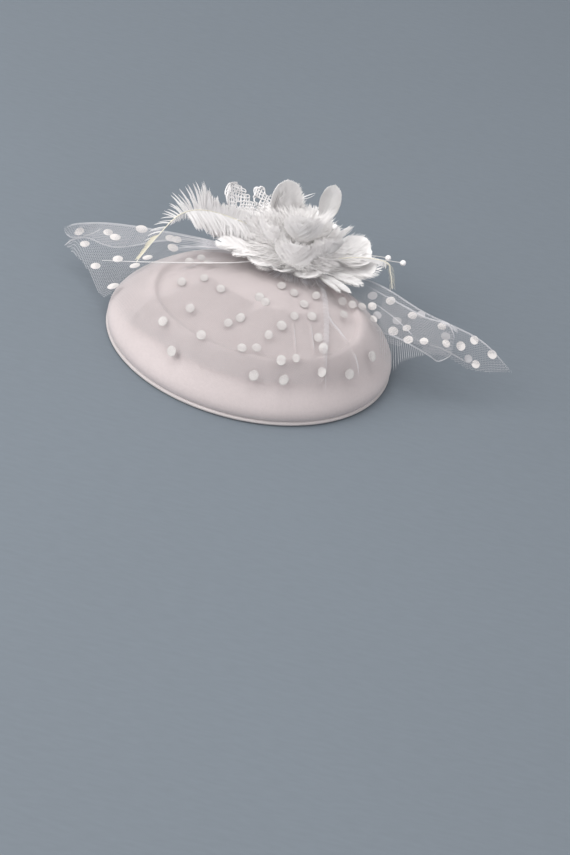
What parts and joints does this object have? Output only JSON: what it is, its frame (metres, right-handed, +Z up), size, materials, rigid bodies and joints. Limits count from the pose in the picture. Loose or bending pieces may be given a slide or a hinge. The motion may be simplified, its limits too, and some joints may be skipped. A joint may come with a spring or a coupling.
{
  "type": "fascinator",
  "caption": "Low oval felt hat with a bound rim, a dotted net veil gathered to flared ends, and a large white feather and lace flower with pearl stamens.",
  "frame": {"origin": "centre of the outline's box, on the plane that the bound rim rests on", "axes": "+X along the longest extent, from the veil's left tip to its right tip as seen by a viewer facing the front hem; +Y from the front hem to the flower; +Z up from the rim's plane"},
  "size_m": [0.2762, 0.1702, 0.0834],
  "materials": {
    "felt": "smooth matt white felt",
    "satin": "narrow white binding, faint sheen",
    "clear_plastic": "plain translucent comb",
    "net": "fine open white net with flocked dots",
    "feather_white": "soft white feather barbs",
    "lace": "open white guipure lace",
    "quill_cream": "cream feather quill with loose barbs",
    "pearl": "small white pearls on thin wires"
  },
  "bodies": {
    "root": {"hat_base": "felt", "rim_binding": "satin", "comb": "clear_plastic", "veil_front": "net", "veil_left_wing": "net", "veil_right_wing": "net", "flower_puff": "feather_white", "petal_upright_left": "feather_white", "petal_upright_right": "feather_white", "petal_top_front": "feather_white", "lace_petal_outer": "lace", "lace_petal_inner": "lace", "petal_right_upper": "feather_white", "petal_middle_front_right": "feather_white", "petal_middle_front": "feather_white", "petal_middle_front_left": "feather_white", "petal_middle_back_right": "feather_white", "petal_middle_back": "feather_white", "petal_middle_back_left": "feather_white", "petal_right_lower": "feather_white", "petal_low_right_1": "feather_white", "petal_low_right_2": "feather_white", "petal_low_front_1": "feather_white", "petal_low_front_2": "feather_white", "petal_low_front_3": "feather_white", "petal_low_left_1": "feather_white", "petal_low_left_2": "feather_white", "petal_low_back_1": "feather_white", "petal_low_back_2": "feather_white", "petal_low_back_3": "feather_white", "petal_low_back_4": "feather_white", "petal_low_back_5": "feather_white", "feather_left": "quill_cream", "feather_right": "quill_cream", "filament": "quill_cream", "stamen_right_long": "pearl", "stamen_right_short": "pearl", "stamen_upper": "pearl"}
  },
  "joints": []
}
